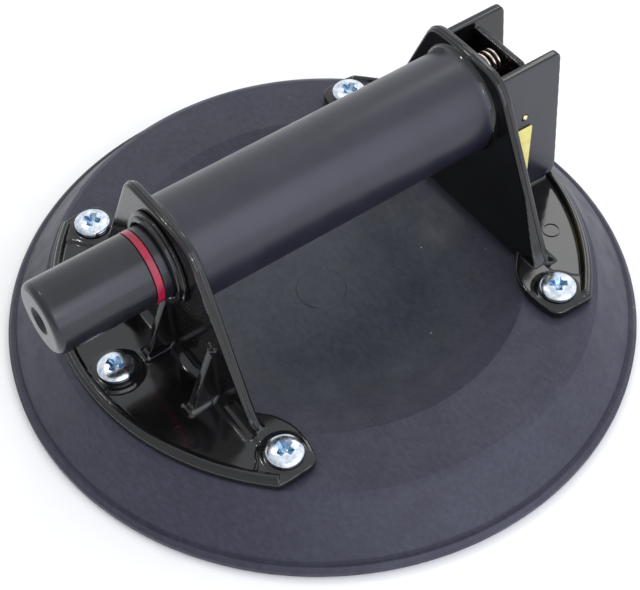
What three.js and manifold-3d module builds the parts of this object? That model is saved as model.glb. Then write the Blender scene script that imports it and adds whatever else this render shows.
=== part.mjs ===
// Hand-pumped vacuum suction cup: a nine inch rubber pad under a moulded handle whose grip is the pump.
// Millimetres, +Z up. The origin is the middle of the pad's sealing face. The plunger points to -X and
// the release lever is at the +X end.
import * as THREE from 'three';
import { mergeVertices } from 'three/addons/utils/BufferGeometryUtils.js';
import Module from 'manifold-3d';

const wasm = await Module();
wasm.setup();

// ---- Driving dimensions ----
const GAP = 0.3;                 // clearance between neighbouring pieces
const PAD_R = 114.3;             // nine inch pad
const RING_TOP = 22.5;           // flat ring that carries the handle
const RING_OUT_R = 96;
const WELL = { wall: 72.5, floor: 8.6 };  // round recess inside the ring
const CAVITY_TOP = 14;           // ceiling of the vacuum channel under the ring
const BOLT_CIRCLE_R = 84.1;
const CORNER_BOLT = [57.6, 61.3];

const PLATE = { inner: 78, outer: 91, bottom: 16.4, top: 19 };
const BUSH = { outer: 4.2, bore: 2.7, bottom: 15.5, top: 22.2 };
const SCREW = { shank: 2.4, head: 6.55, seat: 26.9, top: 30, tip: 16 };

const FOOT = { bottom: RING_TOP + GAP, top: 26, inner: 57.5, outer: 96, beadTop: 27.3, beadWidth: 4 };
const BOSS = { radius: 7.4, top: SCREW.seat - GAP };

const GRIP = { axisZ: 68.8, radius: 18.84, bore: 15.2, boreEnd: 59.5 };
const NEAR_WEB = { outside: -61.5, inside: -57.7, top: 88.9 };
const FAR_WEB = { inside: 61, outside: 65, top: 90.3 };
const WEB = { shoulder: 84, shoulderHalf: 20.8, baseHalf: 51 };
const WEB_ROOT = { reach: 57.8, low: 26, high: 48 };  // the far web thickens towards its foot
const GUSSET = { thickness: 3, offset: 27.8, top: 49.5, toe: 72.8 };
const CURB = { reach: 65, top: 27.4, half: 50 };

const FIN = { inner: 13.5, outer: 16.5, top: 85.9, corner: 88.4, reach: 94.8 };
const DUCT = { radius: 1.6, x: 68, low: 27, plug: 88.7 };
const RIB = { outside: 71, half: 4, top: 73 };
const BLOCK = { outside: 92, half: 6.5, top: 30 };

const PIVOT = { x: 77, z: 62.7, radius: 1, hole: 1.25, head: 1.2, sink: 1.5 };
const LEVER = { inside: 76, outside: 78.6, half: 12.8, top: 84.6, bottom: 31.5, tailHalf: 6.5, hub: 4.2 };
const VALVE_Z = 36;
const LEVER_SPRING = { z: 78.4, radius: 4.7, wire: 0.5, start: 65.9, end: 75.1, coils: 4.5 };
const LABEL = { x0: 69, x1: 80.4, z0: 35.2, z1: 58, thick: 0.3 };

const CYLINDER = { outer: 14.9, inner: 13.5, start: -55.5, end: 50 };
const COLLAR = { flange: 16.6, neck: 15.6, bore: 13.1, face: -64.6, step: -63, spigotEnd: -55.8 };
const PLUNGER = { radius: 12.76, tip: -105.9, edge: 2.6, end: -36, spigot: 5 };
const BAND = { start: -70.4, end: -67.9, radius: 12.86 };
const MAIN_SPRING = { radius: 9.4, wire: 0.8, start: -29, end: 45.9, coils: 8 };
const PLUG = { spigotStart: 47, shoulder: 50.3, end: 58.9, bore: 2 };

// ---- Shape helpers ----
const AROUND = 32;

function closedVolume(geometry) {
  const p = geometry.attributes.position;
  const index = geometry.index;
  const [a, b, c] = [new THREE.Vector3(), new THREE.Vector3(), new THREE.Vector3()];
  let volume = 0;
  for (let i = 0; i < index.count; i += 3) {
    a.fromBufferAttribute(p, index.getX(i));
    b.fromBufferAttribute(p, index.getX(i + 1));
    c.fromBufferAttribute(p, index.getX(i + 2));
    volume += a.dot(b.cross(c)) / 6;
  }
  return volume;
}

// Merge the seams of a geometry, drop its empty triangles and turn its faces outwards.
function sealed(geometry) {
  const bare = geometry.clone();
  bare.deleteAttribute('normal');
  bare.deleteAttribute('uv');
  const merged = mergeVertices(bare, 1e-4);
  const source = merged.index.array;
  const kept = [];
  for (let i = 0; i < source.length; i += 3) {
    const [a, b, c] = [source[i], source[i + 1], source[i + 2]];
    if (a !== b && b !== c && c !== a) kept.push(a, b, c);
  }
  merged.setIndex(kept);
  if (closedVolume(merged) < 0) {
    for (let i = 0; i < kept.length; i += 3) [kept[i + 1], kept[i + 2]] = [kept[i + 2], kept[i + 1]];
    merged.setIndex(kept);
  }
  return merged;
}

function solid(geometry) {
  const mesh = sealed(geometry);
  const vertProperties = new Float32Array(mesh.attributes.position.array);
  const triVerts = new Uint32Array(mesh.index.array);
  return new wasm.Manifold(new wasm.Mesh({ numProp: 3, vertProperties, triVerts }));
}

function surface(manifold) {
  const mesh = manifold.getMesh();
  const geometry = new THREE.BufferGeometry();
  geometry.setAttribute('position', new THREE.BufferAttribute(new Float32Array(mesh.vertProperties), 3));
  geometry.setIndex(Array.from(mesh.triVerts));
  return geometry;
}

const union = (list) => list.map(solid).reduce((a, b) => a.add(b));
const cut = (body, list) => list.map(solid).reduce((a, b) => a.subtract(b), body);

// Turn a [radius, height] outline about the Z axis.
function turnZ(outline, segments = AROUND) {
  const points = outline.map(([r, z]) => new THREE.Vector2(r, z));
  return new THREE.LatheGeometry(points, segments).rotateX(Math.PI / 2);
}

// Turn an [x, radius] outline about an axis along X at the grip's height.
function turnX(outline, segments = AROUND, axisZ = GRIP.axisZ) {
  const points = outline.map(([x, r]) => new THREE.Vector2(r, x));
  return new THREE.LatheGeometry(points, segments).rotateZ(-Math.PI / 2).translate(0, 0, axisZ);
}

function rodX(radius, x0, x1, y = 0, z = GRIP.axisZ, segments = AROUND) {
  const rod = new THREE.CylinderGeometry(radius, radius, x1 - x0, segments);
  return rod.rotateZ(Math.PI / 2).translate((x0 + x1) / 2, y, z);
}

function rodY(radius, y0, y1, x, z, segments = 24) {
  return new THREE.CylinderGeometry(radius, radius, y1 - y0, segments).translate(x, (y0 + y1) / 2, z);
}

function rodZ(radius, z0, z1, x, y, segments = 24) {
  const rod = new THREE.CylinderGeometry(radius, radius, z1 - z0, segments);
  return rod.rotateX(Math.PI / 2).translate(x, y, (z0 + z1) / 2);
}

function block(x0, x1, y0, y1, z0, z1) {
  const box = new THREE.BoxGeometry(x1 - x0, y1 - y0, z1 - z0);
  return box.translate((x0 + x1) / 2, (y0 + y1) / 2, (z0 + z1) / 2);
}

function extruded(shape, depth, curveSegments) {
  return new THREE.ExtrudeGeometry(shape, { depth, bevelEnabled: false, curveSegments });
}

// A shape drawn in the YZ plane, thickened from x0 to x1.
function prismX(shape, x0, x1, curveSegments = 6) {
  const turn = new THREE.Matrix4().makeBasis(
    new THREE.Vector3(0, 1, 0), new THREE.Vector3(0, 0, 1), new THREE.Vector3(1, 0, 0));
  return extruded(shape, x1 - x0, curveSegments).applyMatrix4(turn).translate(x0, 0, 0);
}

// A shape drawn in the XZ plane, thickened from y0 to y1.
function prismY(shape, y0, y1, curveSegments = 6) {
  return extruded(shape, y1 - y0, curveSegments).rotateX(Math.PI / 2).translate(0, y1, 0);
}

// A shape drawn in the XY plane, thickened from z0 to z1.
function prismZ(shape, z0, z1, curveSegments = 6) {
  return extruded(shape, z1 - z0, curveSegments).translate(0, 0, z0);
}

class Helix extends THREE.Curve {
  constructor(radius, x0, x1, coils, axisZ) {
    super();
    Object.assign(this, { radius, x0, x1, coils, axisZ });
  }

  getPoint(t, target = new THREE.Vector3()) {
    const turn = t * this.coils * 2 * Math.PI;
    const x = this.x0 + (this.x1 - this.x0) * t;
    return target.set(x, this.radius * Math.cos(turn), this.axisZ + this.radius * Math.sin(turn));
  }
}

function coilSpring({ radius, wire, start, end, coils }, axisZ, stepsPerCoil = 11) {
  const section = new THREE.Shape().absarc(0, 0, wire, 0, 2 * Math.PI);
  const extrudePath = new Helix(radius, start, end, coils, axisZ);
  const steps = Math.round(coils * stepsPerCoil);
  return new THREE.ExtrudeGeometry(section, { steps, curveSegments: 3, bevelEnabled: false, extrudePath });
}

// ---- Materials ----
function finish(color, roughness, metalness = 0) {
  return new THREE.MeshStandardMaterial({ color, roughness, metalness });
}

const padRubber = () => finish(0x45454f, 0.62);
const sealRubber = () => finish(0x1d1d20, 0.7);
const handlePlastic = () => finish(0x2a2a30, 0.28);
const plungerPlastic = () => finish(0x34343a, 0.35);
const redPlastic = () => finish(0xc0203c, 0.4);
const zincSteel = () => finish(0xc9d2dc, 0.25, 1);
const springSteel = () => finish(0xb09a84, 0.3, 1);
const brass = () => finish(0xb8964a, 0.35, 1);
const aluminium = () => finish(0xb4b6ba, 0.4, 1);
const yellowLabel = () => finish(0xd8c84a, 0.5);
const whiteFelt = () => finish(0xd8d4c8, 0.95);

const cup = new THREE.Group();

function addPiece(name, geometry, material, x = 0, y = 0) {
  const mesh = new THREE.Mesh(geometry, material);
  mesh.name = name;
  mesh.position.set(x, y, 0);
  cup.add(mesh);
}

// ---- Pad and what is moulded into it ----
const [cornerX, cornerY] = CORNER_BOLT;
const screwPlaces = [
  [-cornerX, -cornerY], [-cornerX, cornerY], [-BOLT_CIRCLE_R, 0], [cornerX, -cornerY], [cornerX, cornerY]];
const portPlace = [BOLT_CIRCLE_R, 0];

function suctionPad() {
  const underside = [
    [0, 5], [66, 5], [75.5, CAVITY_TOP - 1.6], [77.5, CAVITY_TOP], [92, CAVITY_TOP], [105.6, 1.6], [107, 0]];
  const rim = [[112.4, 0], [PAD_R, 1.4], [PAD_R, 3.2], [113.2, 4.5], [111.6, 4.6], [110.8, 5.6]];
  const skirt = [[99.4, 20], [98.2, 21.6], [RING_OUT_R, RING_TOP]];
  const recess = [
    [WELL.wall + 1, RING_TOP], [WELL.wall, RING_TOP - 1.1], [WELL.wall - 1.9, WELL.floor + 1.2],
    [WELL.wall - 3.3, WELL.floor], [43.8, WELL.floor], [43.2, WELL.floor - 0.4],
    [9.4, WELL.floor - 0.4], [8.9, WELL.floor], [0, WELL.floor]];
  const body = solid(turnZ([...underside, ...rim, ...skirt, ...recess], 60));
  const plateRoom = turnZ([
    [PLATE.inner - GAP, PLATE.bottom - GAP], [PLATE.outer + GAP, PLATE.bottom - GAP],
    [PLATE.outer + GAP, PLATE.top + GAP], [PLATE.inner - GAP, PLATE.top + GAP],
    [PLATE.inner - GAP, PLATE.bottom - GAP]], 48);
  const bushRooms = screwPlaces.map(([x, y]) => rodZ(BUSH.outer + GAP, BUSH.bottom - GAP, 24, x, y, 16));
  const portRoom = rodZ(BUSH.outer + GAP, CAVITY_TOP - 1, 24, ...portPlace, 16);
  return surface(cut(body, [plateRoom, ...bushRooms, portRoom]));
}

function backingPlate() {
  const ring = solid(turnZ([
    [PLATE.inner, PLATE.bottom], [PLATE.outer, PLATE.bottom], [PLATE.outer, PLATE.top],
    [PLATE.inner, PLATE.top], [PLATE.inner, PLATE.bottom]], 48));
  const holes = [...screwPlaces, portPlace].map(([x, y]) => rodZ(BUSH.outer + GAP, 15, 21, x, y, 16));
  return surface(cut(ring, holes));
}

function threadedBush() {
  return sealed(turnZ([
    [BUSH.bore, BUSH.bottom], [BUSH.outer, BUSH.bottom], [BUSH.outer, BUSH.top],
    [BUSH.bore, BUSH.top], [BUSH.bore, BUSH.bottom]], 16));
}

function padScrew() {
  const { shank, head, seat, top, tip } = SCREW;
  const body = solid(turnZ([
    [0, tip], [shank - 0.6, tip], [shank, tip + 0.8], [shank, seat], [head, seat], [head, seat + 1.2],
    [head - 0.9, seat + 2.2], [head - 2.9, top - 0.25], [0, top]], 18));
  const slots = [0, Math.PI / 2].map((turn) => block(-2.9, 2.9, -0.6, 0.6, top - 1.9, top + 1).rotateZ(turn));
  return surface(cut(body, slots));
}

function portFitting() {
  const flange = 6.4;
  const shelf = CAVITY_TOP - GAP;
  return sealed(turnZ([
    [1.6, shelf - 1.5], [flange, shelf - 1.5], [flange, shelf], [BUSH.outer, shelf],
    [BUSH.outer, BOSS.top - 0.3], [1.6, BOSS.top - 0.3], [1.6, shelf - 1.5]], 20));
}

addPiece('suction_pad', suctionPad(), padRubber());
addPiece('pad_backing_plate', backingPlate(), zincSteel());
screwPlaces.forEach(([x, y], i) => {
  addPiece(`threaded_bush_${i + 1}`, threadedBush(), brass(), x, y);
  addPiece(`pad_screw_${i + 1}`, padScrew(), zincSteel(), x, y);
});
addPiece('vacuum_port_fitting', portFitting(), brass(), ...portPlace);
addPiece('port_filter', sealed(rodZ(5.4, 9.2, 11.9, ...portPlace, 20)), whiteFelt());

// ---- Handle: grip tube, webs, feet, gussets and fins in one moulding ----
function webShape(top) {
  const { shoulder, shoulderHalf, baseHalf } = WEB;
  const shape = new THREE.Shape();
  shape.moveTo(-baseHalf, FOOT.bottom + 0.6);
  shape.lineTo(baseHalf, FOOT.bottom + 0.6);
  shape.quadraticCurveTo(46.5, 29.5, 43.6, 35.5);
  shape.lineTo(shoulderHalf, shoulder);
  shape.quadraticCurveTo(18.6, top - 0.6, 14.2, top - 0.6);
  shape.quadraticCurveTo(0, top + 0.6, -11, top - 0.6);
  shape.quadraticCurveTo(-18.6, top - 1.4, -22, 81.4);
  shape.lineTo(-43.6, 35.5);
  shape.quadraticCurveTo(-46.5, 29.5, -baseHalf, FOOT.bottom + 0.6);
  return shape;
}

// The foot's outline for the +X end; side -1 mirrors it to the -X end.
function footShape(side) {
  const corner = Math.atan2(69.5, 65.5);
  const shape = new THREE.Shape();
  shape.absarc(0, 0, FOOT.outer, -corner, corner, false);
  shape.quadraticCurveTo(62, 70.6, 56, 70.2);
  shape.quadraticCurveTo(49.6, 70.6, 49.2, 65);
  shape.quadraticCurveTo(46.6, 53.6, 52, 45.4);
  shape.lineTo(FOOT.inner, 39.5);
  shape.lineTo(FOOT.inner, -39.5);
  shape.lineTo(52, -45.4);
  shape.quadraticCurveTo(46.6, -53.6, 49.2, -65);
  shape.quadraticCurveTo(49.6, -70.6, 56, -70.2);
  shape.quadraticCurveTo(62, -70.6, FOOT.outer * Math.cos(corner), -FOOT.outer * Math.sin(corner));
  if (side > 0) return shape;
  return new THREE.Shape(shape.getPoints(10).map((p) => new THREE.Vector2(-p.x, p.y)));
}

function beadShape(side) {
  const half = 0.81;
  const middle = side > 0 ? 0 : Math.PI;
  const shape = new THREE.Shape();
  shape.absarc(0, 0, FOOT.outer - 0.2, middle - half, middle + half, false);
  shape.absarc(0, 0, FOOT.outer - FOOT.beadWidth, middle + half, middle - half, true);
  return shape;
}

// The wedge on the inside of the far web, kept within the web's outline.
function webRoot() {
  const { reach, low, high } = WEB_ROOT;
  const web = FAR_WEB.inside + 1;
  const wedge = new THREE.Shape([
    new THREE.Vector2(reach, FOOT.bottom + 1), new THREE.Vector2(web, FOOT.bottom + 1),
    new THREE.Vector2(web, high + 4), new THREE.Vector2(FAR_WEB.inside, high), new THREE.Vector2(reach, low)]);
  const outline = solid(prismX(webShape(FAR_WEB.top), reach - 1, web));
  return surface(outline.intersect(solid(prismY(wedge, -WEB.baseHalf, WEB.baseHalf))));
}

function gussetShape() {
  const web = NEAR_WEB.outside;
  return new THREE.Shape([
    new THREE.Vector2(web + 1, FOOT.bottom + 1), new THREE.Vector2(web + 1, GUSSET.top),
    new THREE.Vector2(web - 1, GUSSET.top), new THREE.Vector2(-GUSSET.toe, FOOT.top),
    new THREE.Vector2(-GUSSET.toe, FOOT.bottom + 1)]);
}

function finShape() {
  const shape = new THREE.Shape();
  shape.moveTo(FAR_WEB.outside - 2, FOOT.bottom + 1);
  shape.lineTo(94, FOOT.bottom + 1);
  shape.lineTo(FIN.reach, 31);
  shape.lineTo(91, FIN.top - 3.6);
  shape.quadraticCurveTo(90.8, FIN.top, FIN.corner, FIN.top);
  shape.lineTo(FAR_WEB.outside - 2, FIN.top);
  return shape;
}

function handle() {
  const bosses = screwPlaces.map(([x, y]) => rodZ(BOSS.radius, FOOT.bottom + 1, BOSS.top, x, y));
  const gussets = [-GUSSET.offset, 0, GUSSET.offset].map((y) =>
    prismY(gussetShape(), y - GUSSET.thickness / 2, y + GUSSET.thickness / 2));
  const fins = [[-FIN.outer, -FIN.inner], [FIN.inner, FIN.outer]].map(([y0, y1]) => prismY(finShape(), y0, y1));
  const flare = turnX([
    [58, 0], [58, GRIP.radius], [59.6, 19.1], [60.6, 19.8], [62, 19.8], [62, 0]]);
  const body = union([
    rodX(GRIP.radius, NEAR_WEB.outside + 1, FAR_WEB.outside - 1, 0, GRIP.axisZ, 40),
    flare,
    prismX(webShape(NEAR_WEB.top), NEAR_WEB.outside, NEAR_WEB.inside),
    prismX(webShape(FAR_WEB.top), FAR_WEB.inside, FAR_WEB.outside),
    webRoot(),
    prismZ(footShape(1), FOOT.bottom, FOOT.top, 10),
    prismZ(footShape(-1), FOOT.bottom, FOOT.top, 10),
    prismZ(beadShape(1), FOOT.bottom + 1, FOOT.beadTop, 18),
    prismZ(beadShape(-1), FOOT.bottom + 1, FOOT.beadTop, 18),
    block(-CURB.reach, NEAR_WEB.outside + 1, -CURB.half, CURB.half, FOOT.bottom + 1, CURB.top),
    block(FAR_WEB.outside - 1, RIB.outside, -RIB.half, RIB.half, FOOT.bottom + 1, RIB.top),
    block(FAR_WEB.outside - 1, BLOCK.outside, -BLOCK.half, BLOCK.half, FOOT.bottom + 1, BLOCK.top),
    ...bosses, ...gussets, ...fins]);
  const screwHoles = screwPlaces.map(([x, y]) => rodZ(2.9, 20, 32, x, y, 16));
  return surface(cut(body, [
    ...screwHoles,
    rodX(GRIP.bore, NEAR_WEB.outside - 2, GRIP.boreEnd),
    rodX(DUCT.radius, GRIP.boreEnd - 1, DUCT.x + 1, 0, GRIP.axisZ, 12),
    rodZ(DUCT.radius, DUCT.low, GRIP.axisZ, DUCT.x, 0, 12),
    rodX(DUCT.radius, DUCT.x, DUCT.plug + 1, 0, DUCT.low, 12),
    rodX(2.7, DUCT.plug, BLOCK.outside + 1, 0, DUCT.low, 16),
    rodX(3.2, DUCT.x + 1, RIB.outside + 1, 0, VALVE_Z, 16),
    rodX(DUCT.radius, DUCT.x, RIB.outside + 1, 0, VALVE_Z, 12),
    rodZ(BUSH.outer + GAP, 20, BOSS.top, ...portPlace, 16),
    rodY(PIVOT.hole, -20, 20, PIVOT.x, PIVOT.z, 16),
    rodY(PIVOT.head + GAP, -20, PIVOT.sink - FIN.outer, PIVOT.x, PIVOT.z, 16)]));
}

function serialLabel() {
  const face = -FIN.outer - GAP;
  return sealed(block(LABEL.x0, LABEL.x1, face - LABEL.thick, face, LABEL.z0, LABEL.z1));
}

addPiece('handle', handle(), handlePlastic());
addPiece('serial_label', serialLabel(), yellowLabel());
addPiece('duct_plug', sealed(rodX(2.4, DUCT.plug + GAP, BLOCK.outside + 0.6, 0, DUCT.low, 16)), brass());

// ---- Pump inside the grip ----
function tubeX(outer, inner, x0, x1, segments = AROUND) {
  return sealed(turnX([[x0, inner], [x0, outer], [x1, outer], [x1, inner], [x0, inner]], segments));
}

function collar() {
  const { flange, neck, bore, face, step, spigotEnd } = COLLAR;
  const seat = NEAR_WEB.outside - GAP;
  return sealed(turnX([
    [face, bore + 0.8], [face, neck - 0.5], [face + 0.5, neck], [step, neck], [step, flange - 0.6],
    [step + 0.5, flange], [seat, flange], [seat, CYLINDER.outer], [spigotEnd, CYLINDER.outer],
    [spigotEnd, 14.1], [-61, 14.1], [-61, bore], [face + 0.8, bore], [face, bore + 0.8]]));
}

function plunger() {
  const { radius, tip, edge, end, spigot } = PLUNGER;
  const corner = [1, 2, 3].map((i) => {
    const turn = (i / 4) * (Math.PI / 2);
    return [tip + edge * (1 - Math.sin(turn)), radius - edge * (1 - Math.cos(turn))];
  });
  const groove = BAND.radius - 0.76;
  return sealed(turnX([
    [tip + 1.6, 0], [tip + 1.6, 4.4], [tip, 4.9], [tip, radius - edge], ...corner.reverse(),
    [tip + edge, radius], [BAND.start - GAP, radius], [BAND.start - GAP, groove],
    [BAND.end + GAP, groove], [BAND.end + GAP, radius], [end - 0.8, radius], [end, radius - 0.8],
    [end, spigot], [end + 6, spigot], [end + 6, 2.4], [end - 10, 2.4], [end - 10, 0]]));
}

function pistonCup() {
  const inner = PLUNGER.spigot + GAP;
  return sealed(turnX([
    [-33.9, inner], [-33.9, 12.9], [-33.1, 13.2], [-29.2, 13.2], [-28.6, 12.7], [-31.6, 11.6],
    [-31.9, 11.2], [-31.9, inner], [-33.9, inner]]));
}

function endPlug() {
  const { spigotStart, shoulder, end, bore } = PLUG;
  return sealed(turnX([
    [spigotStart, bore], [spigotStart, 12.7], [spigotStart + 0.5, 13.2], [shoulder, 13.2],
    [shoulder, CYLINDER.outer], [53.4, CYLINDER.outer], [53.4, 12.8], [56, 12.8],
    [56, CYLINDER.outer], [end, CYLINDER.outer], [end, 5], [end - 2.9, 5], [end - 2.9, bore],
    [spigotStart, bore]], 24));
}

function capScrew(headRadius, headStart, headEnd, shankRadius, shankEnd) {
  const body = solid(turnX([
    [shankEnd, 0], [shankEnd, shankRadius], [headStart, shankRadius], [headStart, headRadius],
    [headEnd - 0.7, headRadius], [headEnd, headRadius - 0.7], [headEnd, 0]], 20));
  return surface(cut(body, [block(headEnd - 1, headEnd + 1, -6, 6, GRIP.axisZ - 0.5, GRIP.axisZ + 0.5)]));
}

const oRing = new THREE.TorusGeometry(14, 0.9, 6, 24).rotateY(Math.PI / 2).translate(54.7, 0, GRIP.axisZ);

addPiece('pump_cylinder', tubeX(CYLINDER.outer, CYLINDER.inner, CYLINDER.start, CYLINDER.end), aluminium());
addPiece('cylinder_collar', collar(), handlePlastic());
addPiece('plunger_wiper', tubeX(13.8, 13.04, -60.7, -58.2), sealRubber());
addPiece('plunger', plunger(), plungerPlastic());
addPiece('red_line_band', tubeX(BAND.radius, BAND.radius - 0.46, BAND.start, BAND.end), redPlastic());
addPiece('piston_washer', tubeX(12.9, PLUNGER.spigot + GAP, -35.7, -34.2), zincSteel());
addPiece('piston_cup', pistonCup(), sealRubber());
addPiece('spring_seat', tubeX(10.9, PLUNGER.spigot + GAP, -31.4, -30.1), zincSteel());
addPiece('piston_screw', capScrew(6.6, -29.7, -27, 2.1, -40), zincSteel());
addPiece('plunger_spring', sealed(coilSpring(MAIN_SPRING, GRIP.axisZ)), springSteel());
addPiece('end_plug', endPlug(), plungerPlastic());
addPiece('end_plug_o_ring', sealed(oRing), sealRubber());
addPiece('check_valve_disc', sealed(rodX(4.6, 56.3, 57.5, 0, GRIP.axisZ, 20)), sealRubber());

// ---- Release valve, lever and pivot ----
function valveNozzle() {
  return sealed(turnX([
    [69.4, 1.2], [69.4, 2.9], [71.3, 2.9], [71.3, 4.2], [72.1, 4.2], [72.1, 2.6], [73, 2],
    [73, 1.2], [69.4, 1.2]], 20, VALVE_Z));
}

function leverPlateShape() {
  const { half, top, bottom, tailHalf } = LEVER;
  const shape = new THREE.Shape();
  shape.moveTo(-tailHalf + 2, bottom);
  shape.lineTo(tailHalf - 2, bottom);
  shape.quadraticCurveTo(tailHalf, bottom, tailHalf, bottom + 2);
  shape.lineTo(tailHalf, 50);
  shape.lineTo(half, 56);
  shape.lineTo(half, top - 2);
  shape.quadraticCurveTo(half, top, half - 2, top);
  shape.lineTo(-half + 2, top);
  shape.quadraticCurveTo(-half, top, -half, top - 2);
  shape.lineTo(-half, 56);
  shape.lineTo(-tailHalf, 50);
  shape.lineTo(-tailHalf, bottom + 2);
  shape.quadraticCurveTo(-tailHalf, bottom, -tailHalf + 2, bottom);
  return shape;
}

function releaseLever() {
  const body = union([
    prismX(leverPlateShape(), LEVER.inside, LEVER.outside),
    rodY(LEVER.hub, -LEVER.half, LEVER.half, PIVOT.x, PIVOT.z),
    rodX(3.6, 73.8, LEVER.inside + 1, 0, LEVER_SPRING.z, 16)]);
  return surface(cut(body, [rodY(PIVOT.hole, -20, 20, PIVOT.x, PIVOT.z, 16)]));
}

function leverPin() {
  const { radius, head, sink } = PIVOT;
  const front = -FIN.outer;
  const back = FIN.outer + 2;
  const points = [
    [0, front - 0.6], [head * 0.6, front - 0.45], [head, front + 0.2], [head, front + sink - GAP],
    [radius, front + sink - GAP], [radius, back - 0.3], [radius - 0.3, back], [0, back]];
  const pin = new THREE.LatheGeometry(points.map(([r, y]) => new THREE.Vector2(r, y)), 20);
  return sealed(pin.translate(PIVOT.x, 0, PIVOT.z));
}

function pinClip() {
  const face = FIN.outer + GAP;
  const clip = solid(rodY(3, face, face + 0.8, PIVOT.x, PIVOT.z, 24));
  const mouth = block(PIVOT.x - 0.8, PIVOT.x + 0.8, face - 1, face + 2, PIVOT.z - 6, PIVOT.z);
  return surface(cut(clip, [rodY(PIVOT.hole, face - 1, face + 2, PIVOT.x, PIVOT.z, 20), mouth]));
}

addPiece('valve_nozzle', valveNozzle(), brass());
addPiece('release_lever', releaseLever(), handlePlastic());
addPiece('valve_seal', sealed(rodX(4, 73.3, LEVER.inside - GAP, 0, VALVE_Z, 20)), sealRubber());
addPiece('lever_pin', leverPin(), brass());
addPiece('lever_pin_clip', pinClip(), zincSteel());
addPiece('lever_spring', sealed(coilSpring(LEVER_SPRING, LEVER_SPRING.z, 14)), springSteel());

export default cup;
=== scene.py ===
"""Looks for a hand-pumped vacuum suction cup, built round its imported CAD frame.

Outlines are drawn in millimetres in the CAD's own frame: +Z up, the plunger towards -X and the
release lever at the +X end. Vertices are scaled to metres when a mesh is made.
"""
import math

import bmesh
import bpy
import numpy as np
from mathutils import Matrix, Vector


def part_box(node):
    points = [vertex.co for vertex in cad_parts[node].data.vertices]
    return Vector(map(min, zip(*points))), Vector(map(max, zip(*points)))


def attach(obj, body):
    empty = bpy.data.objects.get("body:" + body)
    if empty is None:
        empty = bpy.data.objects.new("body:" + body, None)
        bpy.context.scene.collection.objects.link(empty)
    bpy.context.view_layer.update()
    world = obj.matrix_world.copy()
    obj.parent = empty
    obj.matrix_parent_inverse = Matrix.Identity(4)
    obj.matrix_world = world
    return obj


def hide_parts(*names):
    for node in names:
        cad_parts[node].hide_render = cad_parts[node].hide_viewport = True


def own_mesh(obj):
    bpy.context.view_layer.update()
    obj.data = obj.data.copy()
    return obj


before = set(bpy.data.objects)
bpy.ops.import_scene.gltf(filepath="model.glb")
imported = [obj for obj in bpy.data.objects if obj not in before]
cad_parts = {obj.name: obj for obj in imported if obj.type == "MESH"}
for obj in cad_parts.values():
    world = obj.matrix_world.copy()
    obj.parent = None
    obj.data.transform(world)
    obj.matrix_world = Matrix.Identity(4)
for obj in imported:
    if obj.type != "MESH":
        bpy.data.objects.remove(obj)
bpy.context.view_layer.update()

MM = 0.001
FULL_TURN = 2 * math.pi


# ---- Driving sizes, read from the frame ----
def low_high(node):
    """The lowest and highest corner of a CAD node, in millimetres."""
    low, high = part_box(node)
    return low / MM, high / MM


def middle(node):
    low, high = low_high(node)
    return (low + high) / 2


PAD_CORNER = low_high("suction_pad")[1]
PAD_R = PAD_CORNER.x
RING_TOP = PAD_CORNER.z
HANDLE_LOW, HANDLE_HIGH = low_high("handle")
FOOT_BOTTOM = HANDLE_LOW.z
FOOT_OUTER = -HANDLE_LOW.x
FAR_WEB_TOP = HANDLE_HIGH.z
NEAR_WEB_TOP = FAR_WEB_TOP - 1.4
PLUNGER_TIP = low_high("plunger")[0].x
AXIS_Z = middle("pump_cylinder").z
PIVOT = middle("lever_pin")
LEVER_LOW, LEVER_HIGH = low_high("release_lever")
SCREW_PLACES = [middle(f"pad_screw_{i}") for i in range(1, 6)]
PORT = middle("vacuum_port_fitting")
VALVE_Z = middle("valve_nozzle").z

# ---- Sizes of the mouldings that the boxes don't give ----
GAP = 0.3                        # clearance between neighbouring pieces
RING_OUT_R = 96.0                # flat ring that carries the handle
DISH_LIP = 72.8                  # sloping recess inside the ring: its two radii and its floor
DISH_FOOT = 43.4
DISH_FLOOR = 8.6
PLATE_ROOM = (77.7, 91.3, 16.1, 19.3)  # inner and outer radius, bottom, top
BUSH_ROOM_R = 4.5
SCREW_HOLE_R = 2.9
SCREW_HEAD_R = 6.55
SCREW_SHOULDER = 27.85
SCREW_TOP = 30.0
GRIP_R = 18.84
GRIP_BORE = 15.2
BORE_END = 59.5
FLARE_START = 57.4
NEAR_WEB = (-61.5, -57.7)        # outside and inside face
FAR_WEB = (61.0, 65.0)           # inside and outside face
FAR_WEB_CROWN = FAR_WEB_TOP - 0.3
WEBS = ((NEAR_WEB, NEAR_WEB_TOP), (FAR_WEB, FAR_WEB_CROWN))
WEB_BASE_HALF = 51.0
WEB_SHOULDER = (20.8, 84.0)
WEB_ROOT_REACH = 57.8
FOOT_TOP = 26.0
POCKET_FLOOR = 25.2
POCKET_R = 92.3
POCKET_INSIDE = 62.0
BEAD_REACH = math.radians(46.6)
BOSS_R = 7.4
BOSS_TOP = 26.6
GUSSETS = (-27.8, 0.0, 27.8)
GUSSET_HALF = 1.5
GUSSET_TOP = 49.5
GUSSET_TOE = -72.8
FIN_INNER = 13.5
FIN_OUTER = 16.5
FIN_TOP = 85.9
RIB = (71.0, 4.0, 73.0)          # end, half width, top
PORT_BLOCK = (92.0, 6.5, 30.0)   # end, half width, top
DUCT_Z = 27.0
PLUG_ROOM_R = 2.7
NOZZLE_ROOM_R = 3.2
PIN_HOLE_R = 1.25
PIN_HEAD_ROOM_R = 1.5
CYLINDER_R = (13.5, 14.9)        # inner and outer radius of the pump cylinder
PLUNGER_R = 12.76
LEVER_FACES = (76.0, 78.6)       # inside and outside face
HANDLE_TRIANGLES = 180000


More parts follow.
